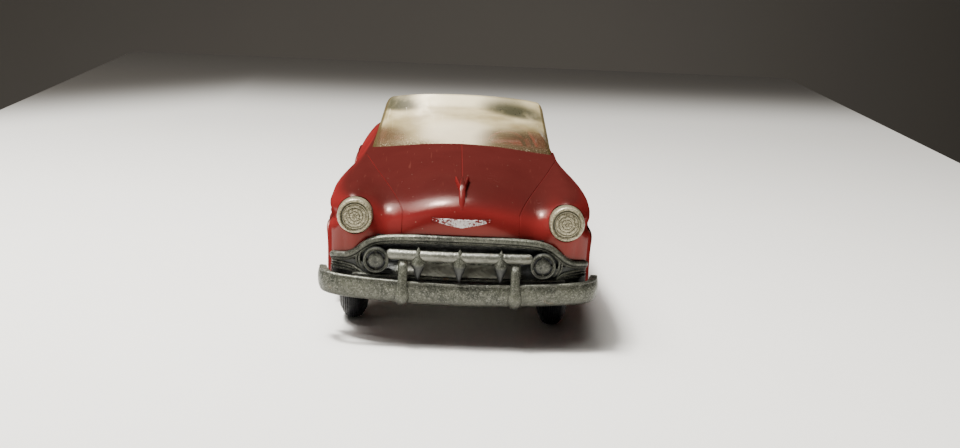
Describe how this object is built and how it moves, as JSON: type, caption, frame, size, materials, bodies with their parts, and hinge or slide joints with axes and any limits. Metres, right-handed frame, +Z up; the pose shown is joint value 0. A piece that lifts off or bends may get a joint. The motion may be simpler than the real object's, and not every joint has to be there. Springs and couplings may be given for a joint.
{
  "type": "friction toy convertible car",
  "caption": "Toy open convertible with a moulded hollow body, cast bumpers and grille, rolling wheels and a flywheel friction motor.",
  "frame": {"origin": "on the floor under the middle of the car", "axes": "+Y from the front bumper to the rear bumper, +X to the left-hand side of the car (right for someone who faces its grille), +Z up"},
  "size_m": [0.076, 0.199, 0.0593],
  "materials": {
    "red_plastic": "worn semi-gloss moulded red",
    "clear_plastic": "clear, yellowed and hazy",
    "casting": "dull speckled grey casting with worn plating",
    "lamp_lens": "silvered beaded lens, tarnished",
    "tail_lens": "gloss dark red",
    "tinplate": "bare tinplate, lightly tarnished",
    "steel": "plain steel",
    "gear_metal": "stamped brass",
    "flywheel_metal": "turned, dull grey",
    "wheel_plate": "plated pressed wheel disc",
    "tyre_rubber": "black ribbed rubber"
  },
  "bodies": {
    "car": {"body_shell": "red_plastic", "windscreen": "clear_plastic", "grille": "casting", "front_bumper": "casting", "rear_bumper": "casting", "headlamp_left": "lamp_lens", "headlamp_right": "lamp_lens", "tail_lamp_left": "tail_lens", "tail_lamp_right": "tail_lens", "interior_tub": "red_plastic", "front_seat": "red_plastic", "rear_seat": "red_plastic", "dashboard": "red_plastic", "steering_column": "red_plastic", "steering_wheel": "red_plastic", "chassis_plate": "tinplate", "chassis_screws": "steel", "motor_frame_left": "tinplate", "motor_frame_right": "tinplate", "motor_pillars": "steel", "motor_rivets": "steel"},
    "front_axle": {"front_axle": "steel", "front_wheel_left": "wheel_plate", "front_wheel_right": "wheel_plate", "front_tyre_left": "tyre_rubber", "front_tyre_right": "tyre_rubber"},
    "rear_axle": {"rear_axle": "steel", "rear_wheel_left": "wheel_plate", "rear_wheel_right": "wheel_plate", "rear_tyre_left": "tyre_rubber", "rear_tyre_right": "tyre_rubber", "drive_gear": "gear_metal"},
    "idler": {"idler_shaft": "steel", "idler_gear": "gear_metal"},
    "flywheel": {"flywheel_shaft": "steel", "flywheel_pinion": "gear_metal", "flywheel": "flywheel_metal"}
  },
  "joints": [
    {"name": "front_axle_spin", "type": "hinge", "parent": "car", "child": "front_axle", "pos_m": [0, -0.0695, 0.014], "axis": [1, 0, 0], "continuous": true},
    {"name": "rear_axle_spin", "type": "hinge", "parent": "car", "child": "rear_axle", "pos_m": [0, 0.0475, 0.014], "axis": [1, 0, 0], "continuous": true},
    {"name": "idler_spin", "type": "hinge", "parent": "car", "child": "idler", "pos_m": [0, 0.05683, 0.01983], "axis": [1, 0, 0], "continuous": true},
    {"name": "flywheel_spin", "type": "hinge", "parent": "car", "child": "flywheel", "pos_m": [0, 0.06783, 0.01983], "axis": [1, 0, 0], "continuous": true}
  ],
  "couplings": [
    {"joint": "rear_axle_spin", "follows": "flywheel_spin", "ratio": 0.14062},
    {"joint": "idler_spin", "follows": "flywheel_spin", "ratio": -0.375}
  ]
}
